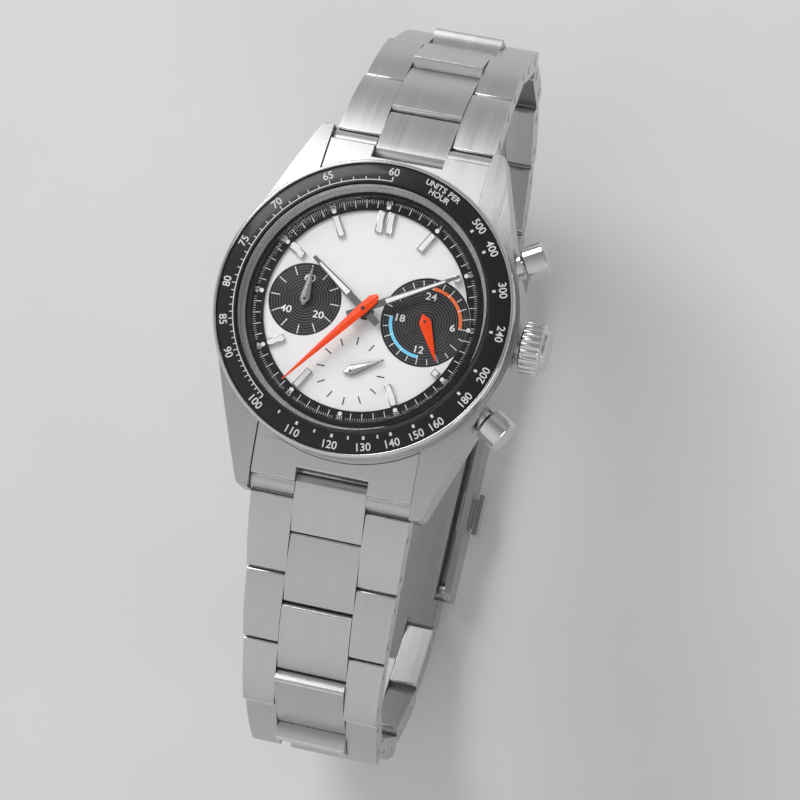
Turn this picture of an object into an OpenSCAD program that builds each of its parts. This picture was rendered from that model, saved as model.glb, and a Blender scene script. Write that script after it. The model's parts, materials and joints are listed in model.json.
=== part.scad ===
// Chronograph wristwatch on a three-piece link bracelet with a folding clasp.
// The watch stands on the clasp's flat outer face. X runs from 9 to 3 o'clock,
// Y from 6 to 12 o'clock and Z is up, out of the dial.

/* [Head] */
// Outside diameter of the bezel
bezel_d = 36.2; // [33:0.2:44]
// Width of the case middle across 9 and 3 o'clock
case_w = 36.9; // [34:0.1:45]
// Height of the case middle, without bezel and back
case_h = 7.2; // [6.5:0.1:9]
// Height of the bezel above the case middle
bezel_h = 2.4; // [2:0.1:3.5]
// Distance from the dial's centre to each bracelet bar
lug_bar_y = 21; // [19.5:0.1:27]
// Gap between two lugs
lug_gap = 20; // [18:0.5:24]
// Outside diameter of the crystal
crystal_d = 29.7; // [27:0.1:30.5]
// Wall of the crystal
crystal_t = 1.15; // [0.8:0.05:1.5]
// Rise of the crystal above the bezel
crystal_rise = 1.9; // [1.2:0.1:3]
// Depth of the dial below the bezel's top
dial_depth = 2.2; // [1.8:0.1:3]
// Thickness of the case back
back_t = 1.6; // [1.2:0.1:3]

/* [Dial] */
// Distance from the dial's centre to each small dial's centre
sub_offset = 7.4; // [6.5:0.1:8.5]
// Radius of the minute counter at 9 o'clock
minute_sub_r = 4.42; // [3.5:0.02:5]
// Radius of the 24 hour dial at 3 o'clock
day_sub_r = 5.38; // [4.5:0.02:6]
// Inner radius of the chapter ring
chapter_r = 12.2; // [11.5:0.1:12.6]
// Width of an hour marker
marker_w = 0.86; // [0.6:0.02:1.2]

/* [Hands] */
// Length of the hour hand
hour_len = 9.0; // [7:0.1:10]
// Length of the minute hand
minute_len = 12.0; // [10:0.1:12.4]
// Length of the chronograph hand
chrono_len = 12.65; // [11:0.05:12.9]
// Minutes past 10 o'clock that the hands show
shown_minutes = 10; // [0:1:59]
// Seconds that the chronograph hand shows
shown_chrono = 36.1; // [0:0.1:59.9]
// Seconds that the small seconds hand shows
shown_seconds = 10.3; // [0:0.1:59.9]

/* [Crown and pushers] */
// Diameter of the crown
crown_d = 6.4; // [5:0.1:7.5]
// Length of the crown
crown_len = 3.2; // [2.5:0.1:4.5]
// Number of flutes round the crown
crown_flutes = 26; // [16:1:40]
// Diameter of a pusher's head
pusher_d = 4.1; // [3.2:0.1:5]
// Length of a pusher's head
pusher_len = 2.8; // [2:0.1:4]
// Angle between a pusher and the crown, about the dial's centre
pusher_angle = 30; // [27:0.5:36]
// Travel of a pusher
pusher_travel = 0.9; // [0.5:0.05:1]

/* [Bracelet] */
// Length of one row of links, from hinge to hinge
pitch = 9.2; // [7.6:0.1:11.2]
// Thickness of the links
link_t = 2.8; // [2.3:0.1:3.4]
// Share of the pitch at which one centre link ends and the next one starts
centre_split = 0.63; // [0.6:0.01:0.75]
// Width of the centre links
centre_w = 8.8; // [7:0.1:10.5]
// Width of the bracelet at the clasp
end_w = 16; // [15:0.1:19]
// Radius of the lengthwise arch on top of a link
arch_r = 24; // [16:1:60]
// Gap between the ends of two links
link_gap = 0.14; // [0.1:0.01:0.3]
// Gap beside a centre link
side_gap = 0.06; // [0.03:0.01:0.15]
// Diameter of the link pins
pin_d = 1.2; // [0.8:0.1:1.5]
// Diameter of the spring bars
bar_d = 1.5; // [1.2:0.1:1.8]

/* [Clasp] */
// Length of the clasp cover
cover_len = 47; // [40:0.5:58]
// Thickness of the cover's side walls
wall_t = 0.9; // [0.7:0.05:1.2]
// Height of the cover's side walls
cover_h = 4.6; // [4.2:0.1:6]
// Thickness of the cover's floor
floor_t = 1.0; // [0.8:0.05:1.2]
// Thickness of a clasp blade
blade_t = 0.9; // [0.7:0.05:1]
// Travel of a clasp button
button_travel = 0.6; // [0.3:0.05:0.7]

/* [Hidden] */
$fn = 64;
eps = 0.02;

// Fits: running gap on a radius, gap between parts that are put together
run = 0.04;
fit = 0.02;

// Bracelet shape: slope of each row below the horizontal, from the head down.
// The last row at 12 o'clock is turned so that its hinge meets the clasp.
slopes_6 = [31, 30, 38, 62, 98, 132, 158];
slopes_12 = [30, 40, 62, 98, 130, 148];
function cos_sum(list, k) = k == 0 ? 0 : cos_sum(list, k - 1) + cos(list[k - 1]);
function sin_sum(list, k) = k == 0 ? 0 : sin_sum(list, k - 1) + sin(list[k - 1]);
rows = 7;

// Hinge heights at the clasp, and the height of the head that follows
fold_pin_r = 0.5;
knuckle_r = 1.05;
fold_gap = 0.2;
cover_pivot_z = knuckle_r + 0.1;
middle_z = floor_t + fold_gap;
inner_z = cover_pivot_z + knuckle_r + fold_gap;
inner_pivot_z = inner_z + 0.6 + link_t / 2;
strand_pivot_z = floor_t + 0.6 + link_t / 2;
bar_depth = 8.1;
bezel_z = inner_pivot_z + pitch * sin_sum(slopes_6, rows) + bar_depth;
bar_z = bezel_z - bar_depth;
last_sine = (bar_z - strand_pivot_z) / pitch - sin_sum(slopes_12, rows - 1);
slopes_12_all = concat(slopes_12, [180 - asin(last_sine)]);

// Heights in the head, from the bezel's top
rim_z = bezel_z - bezel_h;
base_z = rim_z - case_h;
dial_z = bezel_z - dial_depth;
ring_z = dial_z + 0.3;
ledge_z = dial_z + 0.7;
crown_z = base_z + 4.4;
dial_t = 0.4;
plate_z = dial_z - dial_t - 0.05;

// Radii in the head
case_r = case_w / 2;
bezel_r = bezel_d / 2;
crystal_r = crystal_d / 2;
gasket_t = 0.33;
neck_bore_r = crystal_r + gasket_t + fit;
neck_r = neck_bore_r + 0.8;
insert_in_r = neck_bore_r - 0.03;
insert_out_r = bezel_r - 0.55;
bore_r = crystal_r + 0.05;
lug_wall_r = bezel_r - 0.15;
lug_top_r = 65;
lug_tip_r = 0.8;
lug_tip_y = lug_bar_y + 0.95;
link_in_r = lug_wall_r + 0.05;

// Links
end_r = pitch / 4 - link_gap / 2;
flat_u = pitch / 4 + link_gap / 2;
centre_r = pitch * (1 - centre_split) - link_gap / 2;
centre_end = pitch * centre_split - link_gap / 2;
fixed_pin_u = pitch * 0.45;
pin_r = pin_d / 2;
bar_r = bar_d / 2;
first_r = link_t / 2 + 0.05;
inner_w = centre_w / 2 + side_gap;
start_w = lug_gap / 2 - 0.1;
pin_recess = 0.12;

// Clasp
cover_in_w = end_w / 2 + 0.1;
cover_w = (cover_in_w + wall_t) * 2;
inner_pivot_y = -lug_bar_y - pitch * cos_sum(slopes_6, rows);
strand_pivot_y = lug_bar_y + pitch * cos_sum(slopes_12_all, rows);
cover_pivot_y = inner_pivot_y + end_r + 5.4;
cover_y0 = cover_pivot_y - 1.3;
cover_y1 = cover_y0 + cover_len;
fold_y = strand_pivot_y - end_r - 2.2;
fold_z = middle_z + blade_t + fold_gap / 2;
blade_w = 6.8;
button_y = cover_pivot_y + 10.5;
button_len = 5.4;
button_h = 2.0;
button_z = 2.6;
button_out = 1.3;

// Places on the dial
minute_sub = [-sub_offset, 0];
day_sub = [sub_offset, 0];
seconds_sub = [0, -sub_offset];
arbor_r = 0.2;
post_len = 0.3;

// ---------- helpers ----------

// A ring with a plain rectangular section
module ring(r_out, r_in, z0, z1) {
    translate([0, 0, z0])
        difference() {
            cylinder(r = r_out, h = z1 - z0);
            translate([0, 0, -1]) cylinder(r = r_in, h = z1 - z0 + 2);
        }
}

// A disc between two heights
module disc(r, z0, z1) {
    translate([0, 0, z0]) cylinder(r = r, h = z1 - z0);
}

// A round bar along X between two places
module bar_x(r, x0, x1) {
    translate([x0, 0, 0]) rotate([0, 90, 0]) cylinder(r = r, h = x1 - x0);
}

// A round bar along X, centred
module pin_x(r, len) {
    rotate([0, 90, 0]) cylinder(r = r, h = len, center = true);
}

// An outline in Y and Z, made solid along X
module along_x(width) {
    rotate([90, 0, 90]) linear_extrude(height = width, center = true) children();
}

// Turns a shape about the dial's centre to a clock angle
module clock(angle) {
    rotate([0, 0, -angle]) children();
}

// ---------- case ----------

// Where the lug's outer edge leaves the case circle
tip_c = [lug_gap / 2 + lug_tip_r, lug_tip_y];
tip_len = norm(tip_c);
lug_angle = atan2(tip_c[1], tip_c[0]) - acos((case_r - 0.25 - lug_tip_r) / tip_len);
lug_n = [cos(lug_angle), sin(lug_angle)];

module lug_outline() {
    polygon([
        [0, 0],
        (case_r - 0.25) * lug_n,
        tip_c + lug_tip_r * lug_n,
        tip_c,
        [tip_c[0], tip_c[1] + lug_tip_r],
        [lug_gap / 2, tip_c[1] + lug_tip_r],
        [lug_gap / 2, 0]
    ]);
    translate(tip_c) circle(r = lug_tip_r);
}

module case_outline() {
    circle(r = case_r, $fn = 128);
    for (sx = [0, 1], sy = [0, 1])
        mirror([sx, 0]) mirror([0, sy]) lug_outline();
}

// Cylinder across the watch that the lugs' tops follow, lowered by some depth
module lug_top(lower) {
    translate([0, 0, rim_z - lug_top_r - lower])
        pin_x(lug_top_r, case_w * 2, $fn = 180);
}

module lug_space(y_wall) {
    for (s = [0, 1])
        mirror([0, s, 0])
            translate([-lug_gap / 2, 0, base_z - 1])
                difference() {
                    cube([lug_gap, lug_bar_y * 2, case_h + bezel_h + 4]);
                    translate([lug_gap / 2, 0, -1]) cylinder(r = y_wall, h = case_h + 9, $fn = 128);
                }
}

module side_port(angle, r, r0, r1) {
    clock(90 + angle) translate([0, 0, crown_z])
        rotate([0, 0, 90]) bar_x(r, r0, r1);
}

tube_r = 1.5;
pusher_tube_r = 1.6;

module case_middle() {
    color("silver")
    difference() {
        union() {
            intersection() {
                translate([0, 0, base_z]) linear_extrude(height = case_h) case_outline();
                lug_top(-0.25);
            }
            disc(neck_r, rim_z - 1, bezel_z - 0.8);
        }
        lug_space(lug_wall_r);
        disc(bore_r, base_z - 1, ledge_z - 0.4);
        disc(crystal_r - 0.6, ledge_z - 1, ledge_z + 1);
        disc(neck_bore_r, ledge_z, bezel_z);
        side_port(0, tube_r, bore_r - 1, case_r + 3);
        for (a = [-pusher_angle, pusher_angle]) {
            side_port(a, pusher_tube_r, bore_r - 1, case_r + 3);
            side_port(a, pusher_r + 0.12, pusher_x0 - pusher_travel - 0.05, case_r + 4);
        }
        for (sx = [-1, 1], sy = [-1, 1])
            translate([sx * (lug_gap / 2 + 0.5), sy * lug_bar_y, bar_z]) pin_x(0.45, 1.1);
    }
}

back_r = crystal_r + 1.5;

module case_back() {
    color("silver")
    difference() {
        union() {
            disc(back_r, base_z - back_t, base_z - fit);
            disc(bore_r - 0.1, base_z - 0.5, base_z + 0.3);
        }
        ring(bore_r + 0.9, bore_r + 0.3, base_z - 0.4, base_z + 1);
        disc(bore_r - 1.6, base_z - 0.6, base_z + 1);
        for (a = [0:60:300])
            rotate([0, 0, a]) translate([back_r - 1.4, -1.3, base_z - back_t - 1])
                cube([3, 2.6, 1.7]);
    }
}

module case_back_gasket() {
    color("dimgray") ring(bore_r + 0.86, bore_r + 0.34, base_z - 0.38, base_z - 0.04);
}

module bezel_ring() {
    color("silver")
    rotate_extrude($fn = 180)
        polygon([
            [insert_in_r, bezel_z - 0.78], [insert_in_r, bezel_z - 0.56],
            [insert_out_r + fit, bezel_z - 0.76], [insert_out_r + fit, bezel_z - 0.14],
            [insert_out_r + 0.18, bezel_z], [bezel_r - 0.12, bezel_z - 0.16],
            [bezel_r, bezel_z - 0.5], [bezel_r, rim_z + 0.35],
            [bezel_r - 0.3, rim_z + fit], [neck_r + fit, rim_z + fit],
            [neck_r + fit, bezel_z - 0.78]
        ]);
}

module tachymeter_insert() {
    color("black")
    rotate_extrude($fn = 180)
        polygon([
            [insert_in_r, bezel_z - 0.54], [insert_out_r, bezel_z - 0.74],
            [insert_out_r, bezel_z - 0.26], [insert_in_r, bezel_z - 0.06]
        ]);
}

dome_r = 72;

module dome(r, top) {
    translate([0, top - r]) circle(r = r, $fn = 180);
}

module crystal() {
    color("lightblue", 0.35)
    rotate_extrude($fn = 128)
        difference() {
            intersection() {
                polygon([
                    [0, ledge_z + fit], [crystal_r, ledge_z + fit],
                    [crystal_r, bezel_z - 0.1], [crystal_r - 0.8, bezel_z + crystal_rise],
                    [0, bezel_z + crystal_rise]
                ]);
                dome(dome_r, bezel_z + crystal_rise);
            }
            intersection() {
                translate([-1, ledge_z - 1]) square([crystal_r - crystal_t + 1, 10]);
                dome(dome_r - crystal_t, bezel_z + crystal_rise - crystal_t);
            }
        }
}

module crystal_gasket() {
    color("black") ring(neck_bore_r - 0.05, crystal_r + fit / 2, ledge_z + fit, bezel_z - 0.3);
}

// ---------- dial ----------

module chapter_ring() {
    color("black")
    difference() {
        union() {
            ring(bore_r - 0.06, chapter_r, dial_z, ring_z);
            ring(crystal_r - 0.66, crystal_r - 1.25, dial_z, ledge_z - 0.03);
        }
        translate([day_sub[0], 0, dial_z - 1]) cylinder(r = day_sub_r + 0.05, h = 3);
    }
}

module dial_plate() {
    color("white")
    difference() {
        disc(bore_r - 0.06, dial_z - dial_t, dial_z);
        translate([0, 0, dial_z - 1]) cylinder(r = 1.1, h = 2);
        translate([seconds_sub[0], seconds_sub[1], dial_z - 1]) cylinder(r = 0.35, h = 2);
        translate([minute_sub[0], 0, dial_z - 1]) cylinder(r = 0.35, h = 2);
        translate([day_sub[0], 0, dial_z - 1]) cylinder(r = 0.35, h = 2);
        translate([minute_sub[0], 0, dial_z - 0.25]) cylinder(r = minute_sub_r, h = 1);
        translate([day_sub[0], 0, dial_z - 0.25]) cylinder(r = day_sub_r, h = 1);
    }
}

// A sunk disc with fine turned grooves
module counter_disc(centre, r) {
    translate([centre[0], centre[1], 0])
        difference() {
            disc(r - fit, dial_z - 0.25, dial_z - 0.08);
            disc(0.35, dial_z - 1, dial_z + 1);
        }
}

module minute_counter_disc() {
    color("black") counter_disc(minute_sub, minute_sub_r);
}

module day_counter_disc() {
    color("black") counter_disc(day_sub, day_sub_r);
}

marker_h = 0.42;

// One framed marker whose outer end meets the chapter ring
module marker(len, width, shift) {
    translate([shift - width / 2, chapter_r - 0.05 - len, dial_z])
        difference() {
            cube([width, len, marker_h]);
            translate([0.13, 0.13, marker_h - 0.12]) cube([width - 0.26, len - 0.26, 1]);
        }
}

module hour_markers() {
    long = 2.65;
    medium = 2.1;
    color("whitesmoke") {
        for (h = [1, 5, 7, 11]) clock(30 * h) marker(long, marker_w, 0);
        for (h = [8, 10]) clock(30 * h) marker(medium, marker_w, 0);
        for (h = [2, 4]) clock(30 * h) translate([0, -0.2, 0]) marker(marker_w, marker_w, 0);
        for (s = [-1, 1]) marker(long, marker_w, s * (marker_w / 2 + 0.19));
    }
}

// ---------- movement ----------

module movement_ring() {
    color("gray")
    difference() {
        ring(bore_r - 0.05, crystal_r - 1.7, base_z + 0.32, dial_z - dial_t - fit);
        side_port(0, 1.1, crystal_r - 3, bore_r + 1);
        for (a = [-pusher_angle, pusher_angle]) side_port(a, 1.3, crystal_r - 3, bore_r + 1);
    }
}

plate_r = crystal_r - 1.75;
plate_t = 1.5;
plate_low = plate_z - plate_t;
bridge_z = plate_low - 2.6;

module at_arbors() {
    for (c = [[0, 0], minute_sub, day_sub, seconds_sub])
        translate([c[0], c[1], 0]) children();
}

module main_plate() {
    color("goldenrod")
    difference() {
        disc(plate_r, plate_low, plate_z);
        disc(0.95, plate_low - 1, plate_z + 1);
        for (c = [minute_sub, day_sub, seconds_sub])
            translate([c[0], c[1], 0]) disc(arbor_r + run, plate_low - 1, plate_z + 1);
    }
}

module strut(a, b, w) {
    d = b - a;
    translate(a) rotate(atan2(d[1], d[0])) translate([0, -w / 2]) square([norm(d), w]);
}

bridge_posts = [[9, -3.6], [-9, -3.6], [3.0, 3.2]];

module train_bridge() {
    color("silver")
    difference() {
        union() {
            translate([0, 0, bridge_z]) linear_extrude(height = 0.6) {
                for (c = [[0, 0], minute_sub, day_sub, seconds_sub]) {
                    translate(c) circle(r = 1.5);
                    strut([0, 0], c + [0, 0.001], 2);
                }
                for (p = bridge_posts) {
                    translate(p) circle(r = 1);
                    strut([0, 0], p, 1.6);
                }
            }
            for (p = bridge_posts) translate([p[0], p[1], 0]) disc(0.7, bridge_z, plate_low);
        }
        at_arbors() disc(arbor_r + run, bridge_z - 1, bridge_z + 1);
    }
}

module battery() {
    color("lightgray") translate([-5, 6.4, 0]) {
        disc(4.75, plate_low - 3.9, plate_low - 0.9);
        disc(4.0, plate_low - 0.9, plate_low - 0.4);
    }
}

module coil() {
    color("darkorange") translate([5, 8, plate_low - 1.5]) {
        pin_x(1.0, 6);
        pin_x(1.12, 0.4);
        for (s = [-1, 1]) translate([s * 3.2, 0, 0]) pin_x(1.12, 0.5);
    }
}

module circuit_board() {
    color("darkgreen")
    difference() {
        disc(plate_r - 0.4, plate_low - 0.35, plate_low);
        translate([-20, -20, plate_low - 1]) cube([40, 20 + 4.4, 2]);
    }
}

// ---------- hands ----------

hour_z = dial_z + 0.55;
minute_z = hour_z + 0.35;
chrono_z = minute_z + 0.35;
sub_hand_z = dial_z + 0.22;
hand_t = 0.15;

// Tapered baton with a narrow root and a rectangular tail
module baton(len, tip_w, root_w, root_y, tail) {
    polygon([
        [-0.42, 0], [-0.42, -tail], [0.42, -tail], [0.42, 0],
        [0.42, root_y], [root_w / 2, root_y], [tip_w / 2, len],
        [-tip_w / 2, len], [-root_w / 2, root_y], [-0.42, root_y]
    ]);
}

module pipe(r_out, r_in, z0, z1) {
    ring(r_out, r_in, z0, z1);
}

module hour_hand() {
    angle = 300 + shown_minutes / 2;
    color("gainsboro")
    clock(angle) {
        translate([0, 0, hour_z])
            linear_extrude(height = hand_t)
                difference() {
                    union() {
                        baton(hour_len, 0.45, 0.98, 2.6, 2.4);
                        circle(r = 0.95);
                    }
                    circle(r = 0.55 + run);
                }
        ring(0.85, 0.55 + run, plate_low - 0.35, hour_z + hand_t / 2);
        ring(2.6, 0.55 + run, plate_low - 0.35, plate_low - 0.15);
    }
}

module minute_hand() {
    color("gainsboro")
    clock(6 * shown_minutes) {
        translate([0, 0, minute_z])
            linear_extrude(height = hand_t)
                difference() {
                    union() {
                        baton(minute_len, 0.34, 0.86, 2.6, 2.1);
                        circle(r = 0.75);
                    }
                    circle(r = arbor_r + run);
                }
        ring(0.55, arbor_r + run, plate_low - 0.75, minute_z + hand_t / 2);
        ring(2.2, arbor_r + run, plate_low - 0.75, plate_low - 0.55);
    }
}

// Arbor with a small wheel under the plate, down to its pivot in the bridge
module arbor(wheel_r, top) {
    disc(arbor_r, bridge_z, top);
    disc(wheel_r, bridge_z + 1.0, bridge_z + 1.2);
}

module chronograph_hand() {
    color("orangered")
    clock(6 * shown_chrono) {
        translate([0, 0, chrono_z])
            linear_extrude(height = hand_t)
                polygon([
                    [-0.06, chrono_len], [0.06, chrono_len], [0.64, 0.2], [0.62, -1.6],
                    [0.22, -2.3], [-0.22, -2.3], [-0.62, -1.6], [-0.64, 0.2]
                ]);
        arbor(1.9, chrono_z + hand_t + 0.05);
    }
}

// Leaf with a kite tail
module leaf(len, half_w, wide_y, tail) {
    polygon([
        [-0.05, len], [0.05, len], [half_w, wide_y], [half_w * 0.9, -0.15],
        [0, -tail], [-half_w * 0.9, -0.15], [-half_w, wide_y]
    ]);
}

module small_hand(centre, angle, len, half_w, wide_y, tail, slot) {
    translate([centre[0], centre[1], 0]) clock(angle) {
        translate([0, 0, sub_hand_z])
            linear_extrude(height = hand_t)
                difference() {
                    leaf(len, half_w, wide_y, tail);
                    if (slot)
                        polygon([[0, len - 1.1], [0.2, wide_y + 0.2], [-0.2, wide_y + 0.2]]);
                }
        arbor(1.6, sub_hand_z + hand_t + 0.04);
    }
}

module minute_counter_hand() {
    color("silver") small_hand(minute_sub, 2, 4.0, 0.62, 0.3, 0.95, true);
}

module day_hand() {
    color("orangered")
        small_hand(day_sub, 15 * (10 + shown_minutes / 60), 4.9, 0.72, 0.25, 1.05, false);
}

module small_seconds_hand() {
    color("silver") small_hand(seconds_sub, 6 * shown_seconds, 4.1, 0.62, 0.3, 0.95, true);
}

// ---------- crown and pushers ----------

stem_r = 0.7;
tube_bore_r = 1.0;
crown_x0 = case_r + 0.4;
crown_recess = 1.5;

module crown_tube() {
    color("silver") translate([0, 0, crown_z])
        difference() {
            bar_x(tube_r - fit / 2, bore_r + 0.05, crown_x0 + 0.9);
            bar_x(tube_bore_r, bore_r - 1, crown_x0 + 2);
        }
}

module crown() {
    r = crown_d / 2;
    color("silver") translate([crown_x0, 0, crown_z])
        difference() {
            rotate([0, 90, 0])
                rotate_extrude($fn = 96)
                    polygon([
                        [0, 0], [r - 0.45, 0], [r - 0.12, 0.22], [r, 0.4], [r, crown_len - 0.95],
                        [r - 0.35, crown_len - 0.6], [r - 0.65, crown_len - 0.55],
                        [r - 0.75, crown_len - 0.2], [r * 0.45, crown_len], [0, crown_len]
                    ]);
            bar_x(tube_r + 0.15, -1, crown_recess);
            bar_x(stem_r - fit, 0, crown_recess + 1.1);
            for (k = [0:crown_flutes - 1])
                rotate([k * 360 / crown_flutes, 0, 0]) translate([0, 0, r + 0.18])
                    bar_x(0.36, -1, crown_len - 0.45, $fn = 24);
        }
}

module winding_stem() {
    color("gray") translate([0, 0, crown_z])
        difference() {
            bar_x(stem_r - fit * 2, 10.2, crown_x0 + crown_recess + 1);
            difference() {
                bar_x(2, 10.7, 11.3);
                bar_x(0.4, 10, 12);
            }
        }
}

module stem_gasket() {
    color("black") translate([crown_x0 - 1.6, 0, crown_z])
        difference() {
            bar_x(tube_bore_r - 0.03, 0, 0.6);
            bar_x(stem_r - fit, -1, 2);
        }
}

module setting_lever() {
    color("silver")
    difference() {
        translate([10.85, -1.1, bridge_z]) cube([0.3, 2.2, crown_z + 0.3 - bridge_z]);
        translate([0, 0, crown_z]) bar_x(0.46, 10, 12);
        translate([10, -0.46, crown_z]) cube([2, 0.92, 3]);
    }
}

pusher_r = pusher_d / 2;
pusher_x0 = case_r + pusher_travel + 0.15;
pusher_shank_r = 0.7;

module at_pusher(sign) {
    rotate([0, 0, sign * pusher_angle]) translate([0, 0, crown_z]) children();
}

module pusher_tubes() {
    color("silver")
    for (s = [-1, 1]) at_pusher(s)
        difference() {
            bar_x(pusher_tube_r - fit / 2, bore_r + 0.05, pusher_x0 + 0.02 - 0.3);
            bar_x(pusher_shank_r + 0.3, bore_r - 1, pusher_x0 + 2);
        }
}

module pusher(sign) {
    color("silver") at_pusher(sign)
        difference() {
            union() {
                translate([pusher_x0, 0, 0]) rotate([0, 90, 0])
                    rotate_extrude($fn = 96)
                        polygon([
                            [0, 0], [pusher_r - 0.15, 0], [pusher_r, 0.15],
                            [pusher_r, pusher_len - 0.25], [pusher_r - 0.25, pusher_len],
                            [0, pusher_len]
                        ]);
                bar_x(pusher_shank_r, bore_r - 0.9, pusher_x0 + 1);
                bar_x(pusher_shank_r + 0.42, bore_r - 0.5, bore_r - 0.2);
            }
            difference() {
                bar_x(pusher_tube_r + 0.12, pusher_x0 - 1, pusher_x0 + 1.5);
                bar_x(pusher_shank_r, pusher_x0 - 2, pusher_x0 + 2);
            }
        }
}

module start_pusher() {
    pusher(1);
}

module reset_pusher() {
    pusher(-1);
}

spring_turns = 3;
spring_sides = 6;
spring_steps = 14;
spring_wire_r = 0.11;
spring_r = pusher_shank_r + 0.35;
spring_x0 = pusher_x0 - 0.28 + spring_wire_r + fit;
spring_x1 = pusher_x0 + 1.5 - spring_wire_r - fit;

// Point on the spring's surface: i counts along the wire, j round it
function coil_point(i, j) =
    let (a = i * 360 / spring_steps, w = j * 360 / spring_sides)
    let (rr = spring_r + spring_wire_r * cos(w))
    [
        spring_x0 + (spring_x1 - spring_x0) * i / (spring_turns * spring_steps)
            + spring_wire_r * sin(w),
        rr * cos(a), rr * sin(a)
    ];

module pusher_spring(sign) {
    n = spring_turns * spring_steps;
    m = spring_sides;
    points = [for (i = [0:n], j = [0:m - 1]) coil_point(i, j)];
    sides = [for (i = [0:n - 1], j = [0:m - 1])
        [i * m + j, i * m + (j + 1) % m, (i + 1) * m + (j + 1) % m, (i + 1) * m + j]];
    caps = [[for (j = [m - 1:-1:0]) j], [for (j = [0:m - 1]) n * m + j]];
    color("gray") at_pusher(sign) polyhedron(points, concat(sides, caps), convexity = 8);
}

module start_pusher_spring() {
    pusher_spring(1);
}

module reset_pusher_spring() {
    pusher_spring(-1);
}

// ---------- end links ----------

notch_y = lug_bar_y - first_r - link_gap;
low_z = bar_z - link_t / 2 - 0.05;

module end_link(bar_hole_r) {
    difference() {
        intersection() {
            union() {
                translate([0, lug_bar_y, bar_z]) pin_x(first_r, start_w * 2);
                translate([-start_w, 0, low_z]) cube([start_w * 2, lug_bar_y, 8]);
            }
            lug_top(0.05);
            translate([-start_w, 0, low_z]) cube([start_w * 2, lug_bar_y * 2, 9]);
        }
        translate([0, 0, low_z - 1]) cylinder(r = link_in_r, h = 12, $fn = 128);
        translate([-inner_w, notch_y, low_z - 1]) cube([inner_w * 2, pitch, 12]);
        translate([0, lug_bar_y, bar_z]) pin_x(bar_hole_r, start_w * 3);
    }
}

module end_link_12() {
    color("silver") end_link(bar_r + fit);
}

module end_link_6() {
    color("silver") mirror([0, 1, 0]) end_link(bar_r + fit);
}

module spring_bar_6() {
    color("gray") translate([0, -lug_bar_y, bar_z]) {
        pin_x(bar_r, start_w * 2 - 0.1);
        pin_x(0.4, lug_gap + 1.6);
    }
}

// Both ends of the split bar at 12 o'clock; its middle stays in the first centre link
module spring_bar_12_ends() {
    color("gray")
    for (s = [0, 1]) mirror([s, 0, 0]) translate([0, lug_bar_y, bar_z]) {
        bar_x(bar_r, inner_w + 0.05, start_w - 0.05);
        bar_x(0.4, inner_w + 1, lug_gap / 2 + 0.8);
    }
}

// ---------- link rows ----------

// Half width of the bracelet, s rows down from the head
taper_rows = 3.7;
first_w = start_w - 0.05;
function half_w(s) = max(end_w / 2, first_w - (first_w - end_w / 2) * (s - 0.25) / taper_rows);

// Side outline: rounded about its hinge, square at the other end, arched on top
module link_outline(square_u, pivot_u, round_r) {
    far_u = pivot_u + sign(pivot_u - square_u) * round_r;
    mid_u = (square_u + far_u) / 2;
    intersection() {
        union() {
            translate([pivot_u, 0]) circle(r = round_r);
            translate([min(square_u, pivot_u), -link_t / 2])
                square([abs(pivot_u - square_u), link_t]);
        }
        translate([mid_u - pitch, -link_t / 2]) square([pitch * 2, link_t]);
        translate([mid_u, link_t / 2 - arch_r]) circle(r = arch_r, $fn = 180);
    }
}

module centre_link(round_r) {
    difference() {
        along_x(centre_w) link_outline(centre_end, 0, round_r);
        translate([0, fixed_pin_u, 0]) pin_x(pin_r + fit / 2, centre_w * 2);
    }
}

module outer_link(k) {
    w0 = half_w(k - 0.75);
    w1 = half_w(k + 0.25);
    start_u = k == 1 ? first_r + link_gap : flat_u;
    difference() {
        intersection() {
            along_x(w0 * 2 + 2) link_outline(start_u, pitch, end_r);
            linear_extrude(height = link_t * 2, center = true)
                polygon([
                    [inner_w, 0], [w0, 0], [w0, start_u],
                    [w1, pitch + end_r + 1], [inner_w, pitch + end_r + 1]
                ]);
        }
        translate([0, fixed_pin_u, 0]) pin_x(pin_r + fit / 2, w0 * 3);
        translate([0, pitch, 0]) pin_x(pin_r + fit / 2, w0 * 3);
    }
}

// One row in its own frame: Y along the bracelet from its upper hinge, Z outward
module link_row(k, bore) {
    difference() {
        centre_link(k == 1 ? first_r : centre_r);
        pin_x(bore, centre_w * 2);
    }
    for (s = [0, 1]) mirror([s, 0, 0]) outer_link(k);
    translate([0, fixed_pin_u, 0]) pin_x(pin_r, 2 * (half_w(k - 0.3) - pin_recess));
    if (k < rows)
        translate([0, pitch, 0]) pin_x(pin_r, 2 * (half_w(k + 0.25) - pin_recess));
}

// Puts row k of a strand in place on the 12 o'clock side
module place_row(slopes, k) {
    translate([
        0,
        lug_bar_y + pitch * cos_sum(slopes, k - 1),
        bar_z - pitch * sin_sum(slopes, k - 1)
    ])
        rotate([-slopes[k - 1], 0, 0]) children();
}

module row_12(k) {
    color(k % 2 == 0 ? "silver" : "lightgray")
    place_row(slopes_12_all, k) {
        link_row(k, k == 1 ? bar_r + fit : pin_r + run);
        if (k == 1) pin_x(bar_r, centre_w - 0.1);
        if (k == rows)
            difference() {
                along_x(centre_w)
                    intersection() {
                        link_outline(centre_end + link_gap, pitch, end_r);
                        translate([centre_end + link_gap, -link_t]) square([pitch, link_t * 2]);
                    }
                translate([0, pitch, 0]) pin_x(pin_r + run, centre_w * 2);
            }
    }
}

module row_6(k) {
    color(k % 2 == 0 ? "silver" : "lightgray")
    mirror([0, 1, 0]) place_row(slopes_6, k) {
        link_row(k, (k == 1 ? bar_r : pin_r) + run);
        if (k == rows)
            translate([0, pitch, 0]) pin_x(pin_r, 2 * (half_w(k + 0.25) - pin_recess));
    }
}

// ---------- clasp ----------

knuckle_w = 4.9;

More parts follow.
